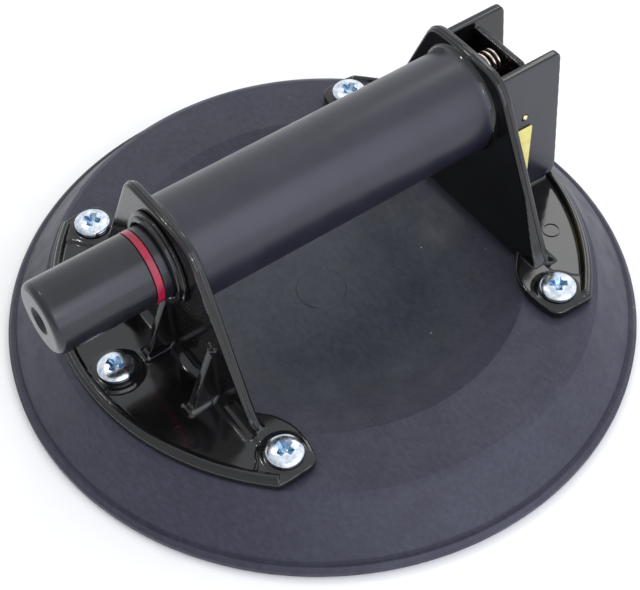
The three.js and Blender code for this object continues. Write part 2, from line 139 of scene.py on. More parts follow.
# ---- Frames that the outlines are drawn in ----
def upright(x=0.0, y=0.0, turn=0.0):
    """Outlines in the XY plane, or turned about a vertical axis through (x, y)."""
    return Matrix.Translation((x, y, 0)) @ Matrix.Rotation(turn, 4, "Z")


def lengthwise(z=0.0):
    """Outlines in the YZ plane, or turned about an axis along X at height z."""
    axes = Matrix(((0, 0, 1, 0), (1, 0, 0, 0), (0, 1, 0, 0), (0, 0, 0, 1)))
    return Matrix.Translation((0, 0, z)) @ axes


def crosswise(x=0.0, z=0.0):
    """Outlines in the XZ plane, or turned about an axis along Y through (x, z)."""
    axes = Matrix(((1, 0, 0, 0), (0, 0, 1, 0), (0, 1, 0, 0), (0, 0, 0, 1)))
    return Matrix.Translation((x, 0, z)) @ axes


# ---- Outlines ----
def rounded(corners, steps=5):
    """A closed outline whose (a, b, radius) corners are turned into arcs; (a, b) stays sharp."""
    path = []
    for i, corner in enumerate(corners):
        here = Vector(corner[:2])
        radius = corner[2] if len(corner) > 2 else 0
        back = Vector(corners[i - 1][:2]) - here
        ahead = Vector(corners[(i + 1) % len(corners)][:2]) - here
        if radius == 0 or back.length < 1e-6 or ahead.length < 1e-6:
            path.append(here)
            continue
        half = back.angle(ahead) / 2
        reach = min(radius / math.tan(half), 0.48 * back.length, 0.48 * ahead.length)
        centre = here + (back.normalized() + ahead.normalized()).normalized() * reach / math.cos(half)
        first = here + back.normalized() * reach - centre
        last = here + ahead.normalized() * reach - centre
        sweep = first.angle_signed(last)
        for k in range(steps + 1):
            turn = -sweep * k / steps
            c, s = math.cos(turn), math.sin(turn)
            path.append(centre + Vector((first.x * c - first.y * s, first.x * s + first.y * c)))
    return path


def trace(start, *moves, steps=8):
    """An outline of lines and curves: a move is a point, or a control point and a point."""
    path = [Vector(start)]
    for move in moves:
        if not hasattr(move[0], "__len__"):
            path.append(Vector(move))
            continue
        here, control, end = path[-1], Vector(move[0]), Vector(move[1])
        for k in range(1, steps + 1):
            t = k / steps
            path.append(here * (1 - t) ** 2 + control * 2 * t * (1 - t) + end * t * t)
    return path


def arc(radius, start, end, steps, centre=(0, 0)):
    turns = [start + (end - start) * k / steps for k in range(steps + 1)]
    return [Vector(centre) + radius * Vector((math.cos(t), math.sin(t))) for t in turns]


def grown(path, distance):
    """A closed outline moved outwards by a distance."""
    area = sum(a.x * b.y - b.x * a.y for a, b in zip(path, path[1:] + path[:1]))
    sign = 1 if area > 0 else -1
    moved = []
    for i, here in enumerate(path):
        along = (path[(i + 1) % len(path)] - path[i - 1]).normalized()
        moved.append(here + sign * distance * Vector((along.y, -along.x)))
    return moved


def mirrored(path):
    return [Vector((-p.x, p.y)) for p in path]


# ---- Meshes ----
def as_piece(name, bm):
    bmesh.ops.remove_doubles(bm, verts=bm.verts, dist=1e-7)
    bmesh.ops.recalc_face_normals(bm, faces=bm.faces)
    mesh = bpy.data.meshes.new(name)
    bm.to_mesh(mesh)
    bm.free()
    piece = bpy.data.objects.new(name, mesh)
    bpy.context.scene.collection.objects.link(piece)
    return piece


def turned(name, outline, place, segments=128):
    """Turn an (along, radius) outline, which closes on itself or on the axis, into a solid."""
    bm = bmesh.new()
    turns = [FULL_TURN * k / segments for k in range(segments)]
    rings = []
    for along, radius in outline:
        points = [(0, 0, along)] if radius < 1e-6 else [
            (radius * math.cos(t), radius * math.sin(t), along) for t in turns]
        rings.append([bm.verts.new(place @ Vector(p) * MM) for p in points])
    for lower, upper in zip(rings, rings[1:] + rings[:1]):
        if len(lower) == 1 and len(upper) == 1:
            continue
        for k in range(segments):
            n = (k + 1) % segments
            if len(lower) == 1:
                bm.faces.new((lower[0], upper[n], upper[k]))
            elif len(upper) == 1:
                bm.faces.new((lower[k], lower[n], upper[0]))
            else:
                bm.faces.new((lower[k], lower[n], upper[n], upper[k]))
    return as_piece(name, bm)


def apply_modifiers(piece):
    depsgraph = bpy.context.evaluated_depsgraph_get()
    mesh = bpy.data.meshes.new_from_object(piece.evaluated_get(depsgraph), depsgraph=depsgraph)
    piece.modifiers.clear()
    old, piece.data = piece.data, mesh
    bpy.data.meshes.remove(old)
    return piece


def skinned(name, rings):
    """A solid skinned over rings of points, in millimetres, with flat ends."""
    bm = bmesh.new()
    rings = [[bm.verts.new(point * MM) for point in ring] for ring in rings]
    bm.faces.new(reversed(rings[0]))
    bm.faces.new(rings[-1])
    for lower, upper in zip(rings, rings[1:]):
        for k in range(len(lower)):
            n = (k + 1) % len(lower)
            bm.faces.new((lower[k], lower[n], upper[n], upper[k]))
    return as_piece(name, bm)


def prism(name, outline, low, high, place, bevel=0.0, steps=3):
    """Thicken an (a, b) outline from low to high, with its two rims rounded by bevel."""
    piece = skinned(name, [[place @ Vector((a, b, level)) for a, b in outline] for level in (low, high)])
    if bevel:
        edge = piece.modifiers.new("rim", "BEVEL")
        edge.width = bevel * MM
        edge.segments = steps
        edge.limit_method = "ANGLE"
        edge.angle_limit = math.radians(50)
        apply_modifiers(piece)
    return piece


def block(name, low, high, bevel=0.0):
    corners = [(low[0], low[1]), (high[0], low[1]), (high[0], high[1]), (low[0], high[1])]
    return prism(name, corners, low[2], high[2], upright(), bevel)


def rod(name, radius, low, high, place, segments=48):
    return turned(name, [(low, 0), (low, radius), (high, radius), (high, 0)], place, segments)


def tapered_bar(name, top, bottom, high, low, place):
    """A four-sided bar whose half sizes run from bottom at low to top at high."""
    corners = ((-1, -1), (1, -1), (1, 1), (-1, 1))
    return skinned(name, [
        [place @ Vector((half_x * x, half_y * y, level)) for x, y in corners]
        for (half_x, half_y), level in ((bottom, low), (top, high))])


def swept(name, points, radius, sides=16):
    """A round wire along a list of points."""
    steps = [(b - a).normalized() for a, b in zip(points, points[1:])]
    tangents = [(a + b).normalized() for a, b in zip(steps[:1] + steps, steps + steps[-1:])]
    turns = [FULL_TURN * k / sides for k in range(sides)]
    side = tangents[0].orthogonal().normalized()
    rings = []
    for point, along in zip(points, tangents):
        side = (side - along * side.dot(along)).normalized()
        other = along.cross(side)
        rings.append([point + radius * (side * math.cos(t) + other * math.sin(t)) for t in turns])
    return skinned(name, rings)


def corner_fill(name, start, end, first, second, radius, sunk=0.6, steps=6):
    """A concave fillet along the corner from start to end, between the first and second directions."""
    first, second = Vector(first), Vector(second)
    centre = (first + second) * radius
    section = [-(first + second) * sunk, first * radius - second * sunk]
    for k in range(steps + 1):
        turn = math.pi / 2 * k / steps
        section.append(centre - radius * (second * math.cos(turn) + first * math.sin(turn)))
    section.append(second * radius - first * sunk)
    return skinned(name, [[Vector(at) + point for point in section] for at in (start, end)])


def gathered(name, parts):
    """One object that holds the meshes of several, which go."""
    bm = bmesh.new()
    for part in parts:
        bm.from_mesh(part.data)
        bpy.data.objects.remove(part)
    mesh = bpy.data.meshes.new(name)
    bm.to_mesh(mesh)
    bm.free()
    piece = bpy.data.objects.new(name, mesh)
    bpy.context.scene.collection.objects.link(piece)
    return piece


def combined(piece, others, operation="DIFFERENCE", solver="MANIFOLD"):
    """Cut the others away from a piece, or join them to it. They go."""
    for i, other in enumerate(others):
        step = piece.modifiers.new(f"cut{i}", "BOOLEAN")
        step.operation = operation
        step.solver = solver
        step.object = other
    apply_modifiers(piece)
    for other in others:
        bpy.data.objects.remove(other)
    return piece


def smooth(piece, degrees=35):
    """Smooth shading with true flats: edges sharper than the angle stay sharp."""
    piece.data.shade_smooth()
    piece.data.set_sharp_from_angle(angle=math.radians(degrees))
    flats = piece.modifiers.new("flats", "WEIGHTED_NORMAL")
    flats.keep_sharp = True
    return apply_modifiers(piece)


def dress(piece, look, nodes=(), body="root"):
    """Give a finished piece its material and its body, and hide the CAD nodes that it stands for."""
    piece.data.materials.clear()
    piece.data.materials.append(look)
    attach(piece, body)
    if nodes:
        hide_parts(*([nodes] if isinstance(nodes, str) else nodes))
    return piece


# ---- Materials ----
class Shade:
    """A Principled material with short calls for the nodes that vary it over the surface."""

    def __init__(self, name, **sockets):
        self.material = bpy.data.materials.new(name)
        self.material.use_nodes = True
        self.tree = self.material.node_tree
        self.shader = self.tree.nodes["Principled BSDF"]
        for socket, value in sockets.items():
            self.shader.inputs[socket.replace("_", " ")].default_value = value
        self.place = self.node("TexCoord").outputs["Object"]

    def node(self, kind, **inputs):
        made = self.tree.nodes.new("ShaderNode" + kind)
        for name, value in inputs.items():
            socket = made.inputs[name.replace("_", " ")]
            if isinstance(value, bpy.types.NodeSocket):
                self.tree.links.new(value, socket)
            else:
                socket.default_value = value
        return made

    def noise(self, size, detail=3.0, roughness=0.5, stretch=None):
        """Noise from 0 to 1 whose features are about size millimetres across."""
        place = self.place
        if stretch:
            mapping = self.node("Mapping", Vector=place, Scale=stretch)
            place = mapping.outputs["Vector"]
        made = self.node(
            "TexNoise", Vector=place, Scale=1 / (size * MM), Detail=detail, Roughness=roughness)
        return made.outputs["Fac"]

    def between(self, value, low, high, start=0.3, end=0.7):
        """A number that runs from low to high as value runs from start to end."""
        made = self.node("MapRange")
        self.tree.links.new(value, made.inputs["Value"])
        for socket, number in zip(("From Min", "From Max", "To Min", "To Max"), (start, end, low, high)):
            made.inputs[socket].default_value = number
        return made.outputs["Result"]

    def ramp(self, value, *stops):
        """A colour from (place, (r, g, b)) stops."""
        made = self.node("ValToRGB", Fac=value)
        band = made.color_ramp
        while len(band.elements) < len(stops):
            band.elements.new(0.5)
        for element, (at, colour) in zip(band.elements, stops):
            element.position = at
            element.color = (*colour, 1)
        return made.outputs["Color"]

    def mix(self, share, first, second):
        """A colour between two. A Mix node's colour sockets are found by number, as names repeat."""
        made = self.tree.nodes.new("ShaderNodeMix")
        made.data_type = "RGBA"
        for socket, value in zip((0, 6, 7), (share, first, second)):
            if isinstance(value, bpy.types.NodeSocket):
                self.tree.links.new(value, made.inputs[socket])
            else:
                made.inputs[socket].default_value = value
        return made.outputs[2]

    def math(self, operation, *values):
        made = self.tree.nodes.new("ShaderNodeMath")
        made.operation = operation
        for i, value in enumerate(values):
            if isinstance(value, bpy.types.NodeSocket):
                self.tree.links.new(value, made.inputs[i])
            else:
                made.inputs[i].default_value = value
        return made.outputs["Value"]

    def coordinates(self):
        """The place on the object as three numbers, in millimetres."""
        place = self.node("SeparateXYZ", Vector=self.place)
        return [self.math("DIVIDE", place.outputs[axis], MM) for axis in "XYZ"]

    def distance(self, first, second):
        """The length of the vector (first, second)."""
        squares = [self.math("MULTIPLY", value, value) for value in (first, second)]
        return self.math("SQRT", self.math("ADD", *squares))

    def all_of(self, first, *others):
        """1 where every one of the masks is 1."""
        for other in others:
            first = self.math("MULTIPLY", first, other)
        return first

    def wire(self, socket, value):
        self.tree.links.new(value, self.shader.inputs[socket])
        return self

    def relief(self, height, depth):
        """Raise the surface by a height from 0 to 1 times depth millimetres."""
        bump = self.node("Bump", Height=height, Strength=1.0, Distance=depth * MM)
        return self.wire("Normal", bump.outputs["Normal"])

    def specks(self, spacing, size):
        """1 on scattered round dots of about size millimetres, and 0 elsewhere."""
        cells = self.node("TexVoronoi", Vector=self.place, Scale=1 / (spacing * MM), Randomness=1.0)
        dot = self.math("LESS_THAN", cells.outputs["Distance"], size / spacing)
        chosen = self.math("GREATER_THAN", self.noise(spacing * 3.1, 0.0), 0.56)
        return self.math("MULTIPLY", dot, chosen)


def grey(level):
    return (level, level, level)


def pad_rubber():
    """Slate rubber with a fine grain, a painted greener tone for the light down in the recess, and a little
    dust.
    """
    shade = Shade("pad_rubber", Specular_IOR_Level=0.4)
    x, y, _ = shade.coordinates()
    in_dish = shade.between(shade.distance(x, y), 1, 0, DISH_FOOT + 6, DISH_LIP - 2)
    grain = shade.between(shade.noise(1.6, 4.0, 0.7, (1.0, 0.5, 1.0)), -0.35, 0.35)
    clouds = shade.math("ADD", shade.noise(26, 5.0, 0.6), grain)
    slate = shade.ramp(
        clouds, (0.2, (0.025, 0.024, 0.040)), (0.5, (0.031, 0.031, 0.049)), (0.8, (0.039, 0.039, 0.060)))
    # Painted light: the recess gets a greener, slightly lighter tone for how the light falls down in the
    # dish.
    dish_light_tone = shade.ramp(
        clouds, (0.2, (0.025, 0.027, 0.038)), (0.5, (0.032, 0.035, 0.048)), (0.8, (0.040, 0.044, 0.060)))
    skin = shade.mix(in_dish, slate, dish_light_tone)
    shade.wire("Base Color", shade.mix(shade.specks(7.0, 0.26), skin, (*grey(0.42), 1)))
    shade.wire("Roughness", shade.between(shade.noise(9, 4.0), 0.40, 0.56))
    return shade.relief(shade.noise(0.7, 2.0), 0.03).material


def moulded(name, dark, light, rough, peel, depth, **sockets):
    """A moulded plastic with a faint uneven tone, uneven gloss and orange peel."""
    shade = Shade(name, **sockets)
    tone = shade.ramp(shade.noise(14, 4.0), (0.35, dark), (0.65, light))
    shade.wire("Base Color", shade.mix(shade.specks(11.0, 0.16), tone, (*grey(0.3), 1)))
    shade.wire("Roughness", shade.between(shade.noise(7, 5.0, 0.6), *rough))
    return shade.relief(shade.noise(peel, 2.0), depth).material


def satin_mask(shade):
    """1 on the skin of the grip and on the outer faces of both fins, and 0 elsewhere."""
    x, y, z = shade.coordinates()
    side = shade.math("ABSOLUTE", y)
    off_axis = shade.distance(side, shade.math("SUBTRACT", z, AXIS_Z))
    grip_start, grip_end, fin_start = NEAR_WEB[1] + 0.2, FAR_WEB[0] - 1.4, FAR_WEB[1] + 1.0
    grip = shade.all_of(
        shade.between(x, 0, 1, grip_start, grip_start + 0.5),
        shade.between(x, 1, 0, grip_end - 0.6, grip_end),
        shade.math("LESS_THAN", off_axis, GRIP_R + 2.06))
    fins = shade.all_of(
        shade.between(x, 0, 1, fin_start, fin_start + 0.6),
        shade.between(z, 0, 1, FOOT_TOP, FOOT_TOP + 1),
        shade.math("GREATER_THAN", side, FIN_INNER + 0.3),
        shade.math("LESS_THAN", side, FIN_OUTER + 0.2),
        shade.math("LESS_THAN", z, FIN_TOP - 0.4))
    return shade.math("MAXIMUM", grip, fins)


def handle_plastic():
    """Glossy black with orange peel; a paler satin skin on the grip and both fins, blue from a painted
    reflection.
    """
    shade = Shade("handle_plastic", Specular_IOR_Level=0.58)
    satin = satin_mask(shade)
    tone = shade.noise(14, 4.0)
    gloss_colour = shade.ramp(tone, (0.35, grey(0.0045)), (0.65, grey(0.0075)))
    # Paler for the satin texture; the blue cast is a painted reflection of the bluish front light.
    satin_and_blue_sheen = shade.ramp(tone, (0.35, (0.013, 0.012, 0.022)), (0.65, (0.018, 0.017, 0.029)))
    skin = shade.mix(satin, gloss_colour, satin_and_blue_sheen)
    shade.wire("Base Color", shade.mix(shade.specks(11.0, 0.16), skin, (*grey(0.3), 1)))
    uneven = shade.noise(7, 5.0, 0.6)
    gloss_rough = shade.between(uneven, 0.07, 0.13)
    satin_extra = shade.math("MULTIPLY", satin, shade.between(uneven, 0.23, 0.25))
    shade.wire("Roughness", shade.math("ADD", gloss_rough, satin_extra))
    return shade.relief(shade.noise(3.0, 2.0), 0.012).material


def plated(name, dark, light, rough, grain=0.9, depth=0.012, stretch=None):
    """A plated or drawn metal with faint stains and fine scratches."""
    shade = Shade(name, Metallic=1.0)
    stains = shade.noise(2.6, 5.0, 0.65)
    shade.wire("Base Color", shade.ramp(stains, (0.34, dark), (0.62, light)))
    shade.wire("Roughness", shade.between(shade.noise(1.2, 4.0), *rough))
    return shade.relief(shade.noise(grain, 3.0, 0.6, stretch), depth).material


def red_plastic():
    shade = Shade("red_line_plastic")
    tone = shade.ramp(shade.noise(5, 4.0), (0.35, (0.25, 0.006, 0.028)), (0.65, (0.40, 0.012, 0.048)))
    shade.wire("Base Color", tone)
    shade.wire("Roughness", shade.between(shade.noise(3), 0.18, 0.28))
    return shade.relief(shade.noise(0.8), 0.01).material


def label_film():
    shade = Shade("yellow_label_film")
    tone = shade.ramp(
        shade.noise(4, 5.0),
        (0.3, (0.70, 0.60, 0.16)), (0.55, (0.80, 0.70, 0.22)), (0.75, (0.84, 0.77, 0.36)))
    shade.wire("Base Color", tone)
    shade.wire("Roughness", shade.between(shade.noise(3), 0.35, 0.55))
    return shade.relief(shade.noise(1.4), 0.02).material


def white_felt():
    shade = Shade("filter_felt", Sheen_Weight=0.3)
    fibres = shade.noise(0.25, 5.0, 0.8, (1.0, 3.0, 1.0))
    shade.wire("Base Color", shade.ramp(fibres, (0.3, (0.55, 0.52, 0.46)), (0.7, (0.78, 0.76, 0.70))))
    shade.wire("Roughness", shade.between(fibres, 0.85, 1.0))
    return shade.relief(fibres, 0.12).material


RUBBER = pad_rubber()
SEAL = moulded("seal_rubber", grey(0.012), grey(0.022), (0.45, 0.6), peel=0.6, depth=0.02)
GLOSS = moulded("handle_gloss", grey(0.0045), grey(0.0075), (0.07, 0.13), peel=3.0, depth=0.012)
HANDLE = handle_plastic()
PLUNGER = moulded(
    "plunger_plastic", (0.008, 0.008, 0.012), (0.012, 0.012, 0.018), (0.19, 0.27),
    peel=1.2, depth=0.006, Specular_IOR_Level=0.53)
RED = red_plastic()
ZINC = plated("zinc_plate", (0.42, 0.50, 0.60), (0.86, 0.90, 0.95), (0.13, 0.27))
# Zinc tinted blue for the screw recesses: a painted blue reflection.
RECESS_BLUE_REFLECTION = plated("zinc_with_painted_blue_reflection", (0.20, 0.30, 0.42), (0.46, 0.62, 0.78), (0.18, 0.34))
SPRING = plated("spring_wire", (0.50, 0.42, 0.36), (0.80, 0.70, 0.60), (0.16, 0.28), grain=0.5, depth=0.01)
BRASS = plated("brass", (0.60, 0.47, 0.22), (0.82, 0.70, 0.42), (0.20, 0.34))
ALUMINIUM = plated(
    "aluminium_tube", (0.62, 0.63, 0.64), (0.78, 0.79, 0.80), (0.26, 0.40),
    grain=0.4, depth=0.01, stretch=(0.2, 1, 1))
LABEL = label_film()
FELT = white_felt()


# ---- Pad and what is moulded into it ----
def rubber_pad():
    underside = [
        (5.0, 0), (5.0, 66, 2), (12.4, 75.5, 2), (14.0, 77.5, 1), (14.0, 92, 2), (1.6, 105.6, 1),
        (0, 107, 0.5)]
    rim = [
        (0, 112.4, 0.6), (1.3, PAD_R, 0.5), (3.3, PAD_R, 0.6), (4.7, 112.9, 0.5), (4.4, 111.5, 0.2),
        (5.7, 110.9, 0.35)]
    skirt = [(20.2, 99.2, 1.0), (21.2, 98.4, 0.8), (RING_TOP, RING_OUT_R, 3.0)]
    recess = [
        (RING_TOP, DISH_LIP, 1.6), (DISH_FLOOR, DISH_FOOT, 40.0), (DISH_FLOOR, 9.3, 0.15),
        (DISH_FLOOR + 0.25, 9.0, 0.15), (DISH_FLOOR + 0.25, 0)]
    pad = turned("rubber_pad", rounded(underside + rim + skirt + recess), upright(), 256)
    inner, outer, bottom, top = PLATE_ROOM
    room = turned("room", [(bottom, inner), (bottom, outer), (top, outer), (top, inner)], upright(), 128)
    bush_rooms = [rod("room", BUSH_ROOM_R, 15.2, 24, upright(p.x, p.y)) for p in SCREW_PLACES]
    port_room = rod("room", BUSH_ROOM_R, 13, 24, upright(PORT.x, PORT.y))
    combined(pad, [room, *bush_rooms, port_room])
    dress(smooth(pad, 32), RUBBER, "suction_pad")


def backing_plate():
    ring = turned("backing_plate", rounded([
        (16.4, 78, 0.3), (16.4, 91, 0.3), (19, 91, 0.3), (19, 78, 0.3)], 2), upright(), 128)
    holes = [rod("hole", BUSH_ROOM_R, 15, 21, upright(p.x, p.y)) for p in [*SCREW_PLACES, PORT]]
    dress(smooth(combined(ring, holes)), ZINC, "pad_backing_plate")


def bushes():
    outline = rounded([(15.5, 2.7, 0.2), (15.5, 4.2, 0.3), (22.2, 4.2, 0.3), (22.2, 2.7, 0.2)], 2)
    for i, place in enumerate(SCREW_PLACES, 1):
        bush = turned(f"brass_bush_{i}", outline, upright(place.x, place.y), 48)
        dress(smooth(bush), BRASS, f"threaded_bush_{i}")


def screw_dome(radius):
    """The height of a screw head's rounded top at a distance from its axis."""
    share = math.sqrt(max(0.0, 1 - (radius / SCREW_HEAD_R) ** 2))
    return SCREW_SHOULDER + (SCREW_TOP - SCREW_SHOULDER) * share ** 0.9


def screw_outline():
    """Half of a pan head screw: a threaded shank under a rounded head, as (height, radius)."""
    tip, seat, core, crest, pitch = 16.0, 26.9, 2.0, 2.4, 0.8
    shank = [(tip, 0), (tip, core - 0.4), (tip + 0.4, core)]
    for k in range(12):
        start = tip + 0.6 + k * pitch
        shank += [(start, core), (start + 0.35, crest), (start + 0.45, crest)]
    rim = [
        (seat, crest), (seat, SCREW_HEAD_R - 0.25), (seat + 0.25, SCREW_HEAD_R),
        (SCREW_SHOULDER, SCREW_HEAD_R)]
    radii = SCREW_HEAD_R * np.cos(np.linspace(0.1, math.pi / 2, 15))
    dome = [(screw_dome(radius), radius) for radius in radii[:-1]]
    return [*shank, *rim, *dome, (SCREW_TOP, 0)]


def screw_blank():
    """A pan head screw on the Z axis, with a crossed recess cut into its head."""
    screw = turned("screw_blank", screw_outline(), upright(), 96)
    high, low = SCREW_TOP + 0.4, SCREW_TOP - 2.1
    cutters = [
        tapered_bar("arm", (4.0, 1.35), (1.0, 0.6), high, low, upright(turn=turn))
        for turn in (0, math.pi / 2)]
    cutters.append(turned("well", [(low - 0.3, 0), (low, 1.0), (high, 2.3), (high, 0)], upright(), 32))
    return smooth(combined(screw, cutters), 40)


def paint_recess(mesh, place):
    """The crossed recess gets a bluer metal than the head: a painted blue reflection."""
    reach, bottom, margin = 4, 27.3, 0.07
    for face in mesh.polygons:
        x, y, z = face.center / MM
        radius = math.hypot(x - place.x, y - place.y)
        if radius < reach and bottom < z < screw_dome(radius) - margin:
            face.material_index = 1


def screws():
    blank = screw_blank()
    recess_turns = (0.35, 0.75, 0.55, 0.95, 0.5)
    for i, (place, turn) in enumerate(zip(SCREW_PLACES, recess_turns), 1):
        screw = bpy.data.objects.new(f"pan_head_screw_{i}", blank.data.copy())
        screw.data.transform(upright(place.x * MM, place.y * MM, turn))
        bpy.context.scene.collection.objects.link(screw)
        dress(screw, ZINC, f"pad_screw_{i}")
        # The recess faces get the bluer metal, a painted blue reflection.
        screw.data.materials.append(RECESS_BLUE_REFLECTION)
        paint_recess(screw.data, place)
    bpy.data.objects.remove(blank)


def port_pieces():
    place = upright(PORT.x, PORT.y)
    tube = rounded([
        (12.2, 1.6, 0.2), (12.2, 6.4, 0.4), (13.7, 6.4, 0.3), (13.7, 4.2), (26.3, 4.2, 0.3),
        (26.3, 1.6, 0.2)])
    fitting = turned("port_tube", tube, place, 64)
    dress(smooth(fitting), BRASS, "vacuum_port_fitting")
    disc = rounded([(9.2, 0), (9.2, 5.4, 0.5), (11.9, 5.4, 0.5), (11.9, 0)])
    filter_disc = turned("felt_filter", disc, place, 64)
    dress(smooth(filter_disc), FELT, "port_filter")


# ---- Handle ----
def web_outline(top):
    half, shoulder = WEB_SHOULDER
    foot = FOOT_BOTTOM + 0.6
    crown = top - 0.6
    outline = trace(
        (-WEB_BASE_HALF, foot), (WEB_BASE_HALF, foot), ((46.5, 29.5), (43.6, 35.5)), (half, shoulder),
        ((18.6, crown - 0.3), (13.6, crown)), ((0, top + 0.5), (-11, crown)),
        ((-18.6, top - 1.4), (-22, 81.4)), (-43.6, 35.5), ((-46.5, 29.5), (-WEB_BASE_HALF, foot)))
    return outline[:-1]


def foot_outline(side):
    corner = math.atan2(69.5, 65.5)
    end = FOOT_OUTER * Vector((math.cos(corner), math.sin(corner)))
    rim = arc(FOOT_OUTER, -corner, corner, 48)
    rest = trace(
        end, ((62, 70.6), (56, 70.2)), ((49.6, 70.6), (49.2, 65)), ((46.6, 53.6), (52, 45.4)), (57.5, 39.5),
        (57.5, -39.5), (52, -45.4), ((46.6, -53.6), (49.2, -65)), ((49.6, -70.6), (56, -70.2)),
        ((62, -70.6), (end.x, -end.y)))
    outline = rim + rest[1:-1]
    return outline if side > 0 else mirrored(outline)


def pocket_outline(side):
    """The sunk floor between the web, the rim bead and the two corner screws."""
    reach = math.radians(41.5)
    inside = rounded([
        (66.0, 62.2, 1.0), (POCKET_INSIDE, 55.0), (POCKET_INSIDE, -55.0), (66.0, -62.2, 1.0)], 3)
    outline = arc(POCKET_R, -reach, reach, 40) + inside
    return outline if side > 0 else mirrored(outline)


def bead(side):
    """The raised lip along a foot's round edge, with a lower step outside it."""
    section = [
        (95.6, FOOT_BOTTOM + 0.6), (FOOT_OUTER, FOOT_BOTTOM + 1), (FOOT_OUTER, 24.9), (94.9, 25.4),
        (94.7, 26.7), (94.2, 27.3), (93.0, 27.3), (92.5, 26.8), (POCKET_R, FOOT_BOTTOM + 0.6)]
    turns = np.linspace(-BEAD_REACH, BEAD_REACH, 65)
    return skinned("bead", [
        [Vector((side * r * math.cos(t), r * math.sin(t), z)) for r, z in section] for t in turns])


def screw_boss(place):
    """The round seat of a screw, in a shallow ring."""
    outline = [
        (FOOT_BOTTOM + 1, 0), (FOOT_BOTTOM + 1, 9.0), (25.9, 9.0), (26.1, 8.8), (26.1, 7.9), (26.3, BOSS_R),
        (BOSS_TOP, BOSS_R - 0.2), (BOSS_TOP, 0)]
    return turned("boss", outline, upright(place.x, place.y), 64)


def foot(side):
    slab = prism("slab", foot_outline(side), FOOT_BOTTOM, FOOT_TOP, upright(), 0.5)
    pocket = prism("pocket", pocket_outline(side), POCKET_FLOOR, FOOT_TOP + 2, upright())
    combined(slab, [pocket], solver="EXACT")
    bosses = [screw_boss(place) for place in SCREW_PLACES if place.x * side > 0]
    return [slab, bead(side), *bosses]


def gusset(y):
    """A slanting rib from the near web to its foot, flared where it meets them."""
    web, base = NEAR_WEB[0], FOOT_BOTTOM + 1
    sides = (-1, 1)
    left, right = (y + side * GUSSET_HALF for side in sides)
    outline = [
        (web + 1, base), (web + 1, GUSSET_TOP), (web - 1.2, GUSSET_TOP), (GUSSET_TOE, POCKET_FLOOR + 0.6),
        (GUSSET_TOE, base)]
    toe_corner = [
        (base, 0), (base, 2.2), (POCKET_FLOOR, 2.2), (POCKET_FLOOR + 0.2, 1.3), (POCKET_FLOOR + 0.65, 0.65),
        (POCKET_FLOOR + 1.3, 0.2), (POCKET_FLOOR + 1.3, 0)]
    along_x, along_z = (-1, 0, 0), (0, 0, 1)
    parts = [
        prism("gusset", outline, left, right, crosswise(), 0.2),
        corner_fill(
            "flare", (GUSSET_TOE, left, POCKET_FLOOR), (GUSSET_TOE, right, POCKET_FLOOR),
            along_x, along_z, 2.2)]
    for side, face in zip(sides, (left, right)):
        root, outward = (web, face, POCKET_FLOOR), (0, side, 0)
        parts += [
            corner_fill("flare", root, (web, face, GUSSET_TOP + 1), outward, along_x, 1.6),
            corner_fill("flare", root, (GUSSET_TOE, face, POCKET_FLOOR), outward, along_z, 2.2),
            turned("toe_corner", toe_corner, upright(GUSSET_TOE, face), 32)]
    return parts


def fin(side):
    """A plate behind the far web, with concave corners where it meets the web and the foot."""
    web = FAR_WEB[1]
    outline = trace(
        (web - 2, FOOT_BOTTOM + 1), (94, FOOT_BOTTOM + 1), (94.8, 31), (91, FIN_TOP - 3.6),
        ((90.8, FIN_TOP), (88.4, FIN_TOP)), (web - 2, FIN_TOP))
    inner, outer = sorted((side * FIN_INNER, side * FIN_OUTER))
    parts = [prism("fin", outline, inner, outer, crosswise(), 0.35)]
    for face, outward in ((FIN_INNER, -side), (FIN_OUTER, side)):
        root, away = (web, side * face, POCKET_FLOOR), (0, outward, 0)
        parts += [
            corner_fill("fill", root, (web, side * face, FIN_TOP - 4), (1, 0, 0), away, 1.6),
            corner_fill("fill", root, (91, side * face, POCKET_FLOOR), away, (0, 0, 1), 1.4)]
    return parts


def flare_radius(x):
    """The grip's radius where it swells out into the far web."""
    return GRIP_R + 1.0 * np.clip((x - FLARE_START) / (FAR_WEB[0] - FLARE_START), 0, 1) ** 2.5


def web_root():
    """The wedge that thickens the far web towards its foot, inside the web's outline."""
    web, reach, base = FAR_WEB[0], WEB_ROOT_REACH, FOOT_BOTTOM + 1
    section = [(reach, base), (web + 1, base), (web + 1, 52), (web, 48), (reach, FOOT_TOP)]
    wedge = prism("web_root", section, -WEB_BASE_HALF, WEB_BASE_HALF, crosswise())
    outline = prism("outline", web_outline(FAR_WEB_CROWN), reach - 1, web + 2, lengthwise())
    return combined(wedge, [outline], "INTERSECT")


def grip():
    """The closed grip tube and the swelling where it runs into the far web."""
    (near, _), (face, far) = NEAR_WEB, FAR_WEB
    along = lengthwise(AXIS_Z)
    tube = [
        (near + 0.6, GRIP_BORE), (near + 0.6, GRIP_R), (far - 0.6, GRIP_R), (far - 0.6, 0), (BORE_END, 0),
        (BORE_END, GRIP_BORE)]
    swelling = [(x, flare_radius(x)) for x in np.linspace(FLARE_START, face, 8)]
    flare = [
        (FLARE_START, GRIP_R - 1), *swelling, (face + 1, flare_radius(face)), (face + 1, GRIP_R - 1)]
    return [turned("grip", tube, along, 192), turned("far_flare", flare, along, 192)]


def root_fill(x, floor, half, outward, radius):
    """A concave corner where a web stands on its foot."""
    return corner_fill("root", (x, -half, floor), (x, half, floor), (outward, 0, 0), (0, 0, 1), radius)


